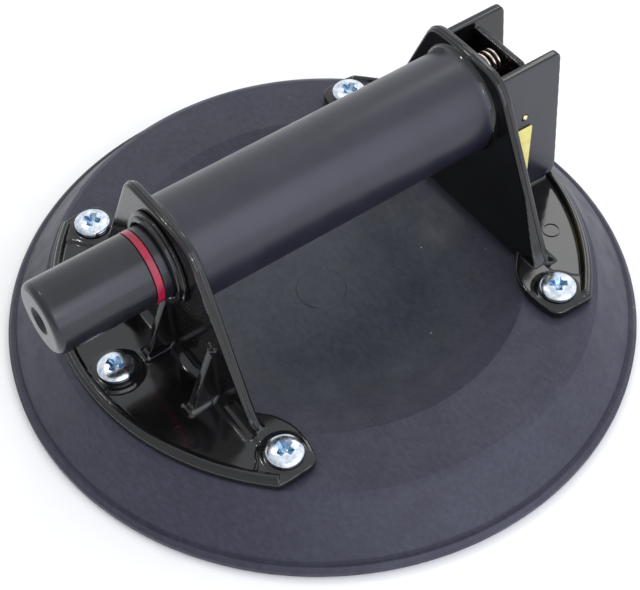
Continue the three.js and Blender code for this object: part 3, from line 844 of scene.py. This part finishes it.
def handle_parts():
    base = FOOT_BOTTOM + 1
    rib_end, rib_half, rib_top = RIB
    block_end, block_half, block_top = PORT_BLOCK
    parts = [
        *grip(),
        web_root(),
        block("rib", (FAR_WEB[1] - 1, -rib_half, base), (rib_end, rib_half, rib_top), 0.6),
        block("port_block", (FAR_WEB[1] - 1, -block_half, base), (block_end, block_half, block_top), 0.8),
        root_fill(NEAR_WEB[0], POCKET_FLOOR, half=50, outward=-1, radius=4.2),
        root_fill(FAR_WEB[1], POCKET_FLOOR, half=50, outward=1, radius=2.6),
        root_fill(NEAR_WEB[1], FOOT_TOP, half=49, outward=1, radius=1.0)]
    for (low, high), top in WEBS:
        parts.append(prism("web", web_outline(top), low, high, lengthwise(), 1.1))
    for side in (-1, 1):
        parts += foot(side) + fin(side)
    for y in GUSSETS:
        parts += gusset(y)
    return parts


def true_grip(mesh):
    """Put the grip's skin back on its exact radii after the remesh, which fills the bore."""
    start, bore_end, tolerance = -54.5, 56.8, 0.4
    count = len(mesh.vertices)
    points = np.empty(count * 3)
    mesh.vertices.foreach_get("co", points)
    points = points.reshape(-1, 3) / MM
    y, z = points[:, 1], points[:, 2] - AXIS_Z
    radius = np.hypot(y, z)
    x = points[:, 0]
    for exact, end in ((flare_radius(x), FAR_WEB[0] - 0.5), (np.full(count, GRIP_BORE), bore_end)):
        near = (x > start) & (x < end) & (np.abs(radius - exact) < tolerance)
        points[near, 1] *= exact[near] / radius[near]
        points[near, 2] = AXIS_Z + z[near] * exact[near] / radius[near]
    mesh.vertices.foreach_set("co", (points * MM).ravel())


def fused(name, parts):
    """The parts as one skin, with its creases softened."""
    body = gathered(name, parts)
    fuse = body.modifiers.new("fuse", "REMESH")
    fuse.mode = "VOXEL"
    fuse.voxel_size = 0.42 * MM
    soften = body.modifiers.new("soften", "SMOOTH")
    soften.factor = 0.5
    soften.iterations = 3
    apply_modifiers(body)
    true_grip(body.data)
    thin = body.modifiers.new("thin", "DECIMATE")
    thin.ratio = min(1.0, HANDLE_TRIANGLES / (2 * len(body.data.polygons)))
    return apply_modifiers(body)


def pump_bore(end):
    return rod("hole", GRIP_BORE, NEAR_WEB[0] - 2, end, lengthwise(AXIS_Z), 128)


def handle_holes():
    """Screw holes, the port's seat, the pump's mouth, the pin's hole and the air passages."""
    across = crosswise(PIVOT.x, PIVOT.z)
    return [
        *(rod("hole", SCREW_HOLE_R, 20, 32, upright(p.x, p.y)) for p in SCREW_PLACES),
        rod("hole", BUSH_ROOM_R, 20, BOSS_TOP, upright(PORT.x, PORT.y)),
        pump_bore(NEAR_WEB[1]),
        rod("hole", PIN_HOLE_R, -20, 20, across),
        rod("hole", PIN_HEAD_ROOM_R, -20, 1.5 - FIN_OUTER, across, 32),
        rod("hole", NOZZLE_ROOM_R, 69, RIB[0] + 1, lengthwise(VALVE_Z)),
        rod("hole", PLUG_ROOM_R, 88.7, 94, lengthwise(DUCT_Z))]


def parting_ridges():
    """The thin line that the mould leaves round the edge of each web."""
    ridges = []
    for web, top in WEBS:
        centre = sum(web) / 2
        outline = grown(web_outline(top), 0.25)
        ridges.append(prism("ridge", outline, centre - 0.45, centre + 0.45, lengthwise(), 0.2, 2))
    return ridges


def ejector_rings():
    """Faint rings where the mould's ejector pins pressed on the feet."""
    places = [(x, side * y) for x, y in ((-79.9, 34.0), (74.8, 38.2)) for side in (-1, 1)]
    outline = [(25.0, 2.7), (25.55, 2.75), (25.55, 3.25), (25.0, 3.3)]
    return [turned("ring", outline, upright(x, y), 48) for x, y in places]


def moulded_handle():
    """The whole handle as one skin: its parts are fused, drilled and given the mould's marks."""
    body = fused("moulded_handle", handle_parts())
    combined(body, handle_holes())
    combined(body, parting_ridges(), "UNION")
    combined(body, [pump_bore(NEAR_WEB[1] + 2)])
    combined(body, ejector_rings(), "UNION")
    body.data.shade_smooth()
    body.data.set_sharp_from_angle(angle=math.radians(48))
    dress(body, HANDLE, "handle")


def label():
    low, high = low_high("serial_label")
    outline = rounded([
        (low.x, low.z, 0.8), (high.x, low.z, 0.8), (high.x, high.z, 0.8), (low.x, high.z, 0.8)])
    film = prism("blank_label", outline, low.y, high.y, crosswise(), 0.06, 2)
    dress(smooth(film), LABEL, "serial_label")


def plug_screw():
    low, high = low_high("duct_plug")
    plug = turned("duct_plug_screw", rounded([
        (low.x, 0), (low.x, 2.4, 0.3), (high.x, 2.4, 0.4), (high.x, 0)]), lengthwise(DUCT_Z), 48)
    slot = block("slot", (high.x - 0.7, -3, DUCT_Z - 0.35), (high.x + 1, 3, DUCT_Z + 0.35))
    dress(smooth(combined(plug, [slot])), BRASS, "duct_plug")


# ---- Pump inside the grip ----
def spin(name, corners, look, node, body="root", segments=128):
    """A finished piece turned about the grip's axis from (x, radius, rounding) corners."""
    piece = turned(name, rounded(corners), lengthwise(AXIS_Z), segments)
    return dress(smooth(piece), look, node, body)


def cylinder_pieces():
    inner, outer = CYLINDER_R
    start, end = -55.5, 50
    spin("cylinder_tube", [(start, inner, 0.3), (start, outer, 0.3), (end, outer, 0.3), (end, inner, 0.3)],
         ALUMINIUM, "pump_cylinder")
    face, bore = -64.6, 13.1
    spin("collar_ring", [
        (face, 13.8, 0.3), (face, 15.6, 0.5), (-63.2, 15.6, 0.3), (-63, 16.6, 0.4), (-61.8, 16.6, 0.15),
        (-61.8, outer), (-55.8, outer, 0.3), (-55.8, 14.1, 0.2), (-61, 14.1), (-61, bore, 0.1),
        (face + 0.8, bore, 0.3)],
         GLOSS, "cylinder_collar")
    spin("wiper_ring", [(-60.7, 13.04, 0.3), (-60.7, 13.8, 0.2), (-58.2, 13.8, 0.2), (-58.2, 13.04, 0.4)],
         SEAL, "plunger_wiper")


def plunger_pieces():
    tip, radius, end = PLUNGER_TIP, PLUNGER_R, -36
    groove = (-70.7, -67.6)
    spin("plunger_knob", [
        (tip + 1.5, 0), (tip + 1.5, 4.3, 0.4), (tip, 4.9, 0.5), (tip, radius, 2.6),
        (groove[0], radius, 0.2), (groove[0], 12.1), (groove[1], 12.1), (groove[1], radius, 0.2),
        (end, radius, 0.7), (end, 5, 0.3), (-30, 5, 0.3), (-30, 2.4, 0.2), (-46, 2.4), (-46, 0)],
         PLUNGER, "plunger", "plunger")
    spin("red_ring", [(-70.4, 12.4, 0.1), (-70.4, 12.86, 0.2), (-67.9, 12.86, 0.2), (-67.9, 12.4, 0.1)],
         RED, "red_line_band", "plunger")
    spin("washer", [(-35.7, 5.3, 0.2), (-35.7, 12.9, 0.3), (-34.2, 12.9, 0.3), (-34.2, 5.3, 0.2)],
         ZINC, "piston_washer", "plunger")
    spin("piston_lip", [
        (-33.9, 5.3, 0.2), (-33.9, 12.9, 0.4), (-33.1, 13.2, 0.4), (-29.2, 13.2, 0.3), (-28.6, 12.7, 0.2),
        (-31.6, 11.6, 0.4), (-31.9, 11.2, 0.3), (-31.9, 5.3, 0.2)],
         SEAL, "piston_cup", "plunger")
    spin("spring_dish", [(-31.4, 5.3, 0.2), (-31.4, 10.9, 0.3), (-30.1, 10.9, 0.3), (-30.1, 5.3, 0.2)],
         ZINC, "spring_seat", "plunger")


def end_plug_pieces():
    outer = CYLINDER_R[1]
    spin("rear_plug", [
        (47, 2, 0.3), (47, 13.2, 0.6), (50.3, 13.2, 0.1), (50.3, outer, 0.2), (53.4, outer, 0.2),
        (53.4, 12.8), (56, 12.8), (56, outer, 0.2), (58.9, outer, 0.3), (58.9, 5, 0.3), (56, 5, 0.2),
        (56, 2, 0.2)],
         PLUNGER, "end_plug")
    spin("check_disc", [(56.3, 0), (56.3, 4.6, 0.2), (57.5, 4.6, 0.2), (57.5, 0)],
         SEAL, "check_valve_disc", segments=64)
    section = arc(0.9, 0, FULL_TURN * 23 / 24, 23, (54.7, 14.0))
    o_ring = turned("plug_o_ring", section, lengthwise(AXIS_Z), 128)
    dress(smooth(o_ring), SEAL, "end_plug_o_ring")


def piston_screw():
    cap = turned("piston_cap_screw", rounded([
        (-40, 0), (-40, 2.1, 0.3), (-29.7, 2.1), (-29.7, 6.6, 0.2), (-27, 6.6, 0.8), (-27, 0)]),
        lengthwise(AXIS_Z), 64)
    slot = block("slot", (-28, -7, AXIS_Z - 0.5), (-26, 7, AXIS_Z + 0.5))
    dress(smooth(combined(cap, [slot])), ZINC, "piston_screw", "plunger")


def coil(name, radius, wire, start, end, turns, axis_z):
    """A compression spring along X whose end turns lie closed."""
    steps = 28
    closed = 0.8
    closed_rise = 2.1 * wire
    open_rise = (end - start - 2 * closed * closed_rise) / (turns - 2 * closed)
    points = []
    for k in range(turns * steps + 1):
        turn = k / steps
        ends = min(turn, closed) + max(turn - (turns - closed), 0)
        along = start + ends * closed_rise + (turn - ends) * open_rise
        angle = FULL_TURN * turn
        points.append(Vector((along, radius * math.cos(angle), axis_z + radius * math.sin(angle))))
    return swept(name, points, wire)


def springs():
    main = coil("plunger_coil", radius=9.4, wire=0.8, start=-28.9, end=45.8, turns=8, axis_z=AXIS_Z)
    dress(smooth(main, 60), SPRING, "plunger_spring")
    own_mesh(main)
    low, high = low_high("lever_spring")
    wire = 0.5
    radius = (high.y - low.y) / 2 - wire
    height = (low.z + high.z) / 2
    small = coil("lever_coil", radius, wire, start=65.9, end=75.1, turns=5, axis_z=height)
    dress(smooth(small, 60), SPRING, "lever_spring")
    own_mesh(small)


# ---- Release valve, lever and pivot ----
def lever_outline():
    half, top, bottom, tail = LEVER_HIGH.y, LEVER_HIGH.z, LEVER_LOW.z, 6.5
    corners = [
        (-tail, bottom, 2.0), (tail, bottom, 2.0), (tail, 50, 3.0), (half, 56, 3.0), (half, top, 2.2),
        (-half, top, 2.2), (-half, 56, 3.0), (-tail, 50, 3.0)]
    return rounded(corners, 6)


def lever():
    (inside, outside), half, top = LEVER_FACES, LEVER_HIGH.y, LEVER_HIGH.z
    pivot = crosswise(PIVOT.x, PIVOT.z)
    body = prism("lever_plate", lever_outline(), inside, outside, lengthwise(), 0.6)
    hub = turned("hub", rounded([(-half, 0), (-half, 4.2, 0.5), (half, 4.2, 0.5), (half, 0)]), pivot, 64)
    stub = turned("stub", rounded([(73.8, 0), (73.8, 3.1, 0.5), (inside + 1, 3.1), (inside + 1, 0)]),
                  lengthwise(middle("lever_spring").z), 48)
    combined(body, [hub, stub], "UNION")
    dot = turned("dot", [(top - 0.3, 0.5), (top - 0.3, 0.8), (top + 1, 0.8), (top + 1, 0.5)],
                 upright(77.3, -9.8), 32)
    combined(body, [dot, rod("hole", PIN_HOLE_R, -20, 20, pivot)])
    dress(smooth(body), GLOSS, "release_lever", "release_lever")
    seal = turned("valve_pad", rounded([
        (73.3, 0), (73.3, 4, 0.3), (inside - GAP, 4, 0.3), (inside - GAP, 0)]), lengthwise(VALVE_Z), 48)
    dress(smooth(seal), SEAL, "valve_seal", "release_lever")


def valve_nozzle():
    nozzle = turned("nozzle", rounded([
        (69.4, 1.2, 0.1), (69.4, 2.9, 0.2), (71.3, 2.9), (71.3, 4.2, 0.3), (72.1, 4.2, 0.3), (72.1, 2.6),
        (73, 2, 0.2), (73, 1.2, 0.2)]), lengthwise(VALVE_Z), 64)
    dress(smooth(nozzle), BRASS, "valve_nozzle")


def pivot_pieces():
    """The lever's pin with its domed head, and the open clip on its far end."""
    across = crosswise(PIVOT.x, PIVOT.z)
    pin = turned("pivot_pin", rounded([
        (-FIN_OUTER - 0.55, 0), (-FIN_OUTER - 0.5, 0.55, 0.8), (-FIN_OUTER - 0.1, 1.2, 0.4),
        (-FIN_OUTER + 1.2, 1.2, 0.1), (-FIN_OUTER + 1.2, 1), (FIN_OUTER + 2, 1, 0.3), (FIN_OUTER + 2, 0)]),
        across, 64)
    dress(smooth(pin), BRASS, "lever_pin")
    face = FIN_OUTER + GAP
    back = face + 0.8
    clip = turned("pin_clip", rounded([
        (face, PIN_HOLE_R, 0.1), (face, 3, 0.2), (back, 3, 0.2), (back, PIN_HOLE_R, 0.1)]), across, 64)
    mouth = block("mouth", (PIVOT.x - 0.8, face - 1, PIVOT.z - 6), (PIVOT.x + 0.8, face + 2, PIVOT.z))
    dress(smooth(combined(clip, [mouth])), ZINC, "lever_pin_clip")


# ---- Camera, floor and light ----
def camera():
    azimuth, elevation, roll = (math.radians(a) for a in (-34.08, 50.83, -1.87))
    distance = 570
    level = Vector((math.cos(azimuth), math.sin(azimuth), 0))
    outward = Vector((math.sin(azimuth), -math.cos(azimuth), 0))
    back = math.cos(elevation) * outward + math.sin(elevation) * Vector((0, 0, 1))
    rise = back.cross(level)
    right = math.cos(roll) * level + math.sin(roll) * rise
    up = -math.sin(roll) * level + math.cos(roll) * rise
    turn = Matrix((right, up, back)).transposed().to_4x4()
    lens = bpy.data.cameras.new("camera")
    lens.sensor_width = 36.0
    lens.lens = 87.04
    lens.shift_x = -0.00275
    lens.shift_y = 0.01364
    holder = bpy.data.objects.new("camera", lens)
    holder.matrix_world = Matrix.Translation(back * distance * MM) @ turn
    bpy.context.scene.collection.objects.link(holder)
    bpy.context.scene.camera = holder


def floor():
    """A white sheet eight metres across, just under the pad."""
    bm = bmesh.new()
    reach, level = 4.0, -0.0001
    corners = ((-reach, -reach), (reach, -reach), (reach, reach), (-reach, reach))
    bm.faces.new([bm.verts.new((x, y, level)) for x, y in corners])
    sheet = as_piece("floor", bm)
    white = Shade("floor_white", Base_Color=(0.97, 0.96, 0.94, 1), Roughness=0.7)
    sheet.data.materials.append(white.material)


def softbox(name, direction, distance, size, radiance, colour=(1, 1, 1)):
    """A rectangular light that faces the object, given by its radiance. Distances are in metres."""
    lamp = bpy.data.lights.new(name, "AREA")
    lamp.shape = "RECTANGLE"
    lamp.size, lamp.size_y = size
    lamp.energy = radiance * math.pi * size[0] * size[1]
    lamp.color = colour
    holder = bpy.data.objects.new(name, lamp)
    aim = Vector(direction).normalized()
    holder.location = aim * distance
    holder.rotation_mode = "QUATERNION"
    holder.rotation_quaternion = aim.to_track_quat("Z", "Y")
    bpy.context.scene.collection.objects.link(holder)


def studio():
    """A white room that is dimmer on the plunger's side."""
    world = bpy.data.worlds.new("studio")
    world.use_nodes = True
    tree = world.node_tree
    direction = tree.nodes.new("ShaderNodeTexCoord").outputs["Generated"]
    split = tree.nodes.new("ShaderNodeSeparateXYZ")
    fade = tree.nodes.new("ShaderNodeMapRange")
    background = tree.nodes["Background"]
    tree.links.new(direction, split.inputs["Vector"])
    tree.links.new(split.outputs["X"], fade.inputs["Value"])
    tree.links.new(fade.outputs["Result"], background.inputs["Strength"])
    limits = {"From Min": -0.8, "From Max": 0.2, "To Min": 0.68, "To Max": 1.12}
    for socket, number in limits.items():
        fade.inputs[socket].default_value = number
    background.inputs["Color"].default_value = (0.95, 0.97, 1.0, 1)
    bpy.context.scene.world = world


def lighting():
    softbox("key", (0.595, 0.358, 0.719), distance=0.8, size=(0.17, 0.24), radiance=2.8)
    softbox("front", (0.06, -0.84, 0.555), distance=1.6, size=(1.8, 1.7), radiance=1.35,
            colour=(0.76, 0.79, 1.0))
    softbox("sparkle", (-0.10, 0.52, 0.85), distance=1.6, size=(0.10, 0.10), radiance=45)
    softbox("glint", (0.0, -0.74, 0.69), distance=1.6, size=(0.08, 0.08), radiance=60)
    bpy.context.scene.view_settings.view_transform = "Standard"


camera()
floor()
studio()
lighting()
rubber_pad()
backing_plate()
bushes()
screws()
port_pieces()
moulded_handle()
label()
plug_screw()
cylinder_pieces()
plunger_pieces()
end_plug_pieces()
piston_screw()
springs()
lever()
valve_nozzle()
pivot_pieces()
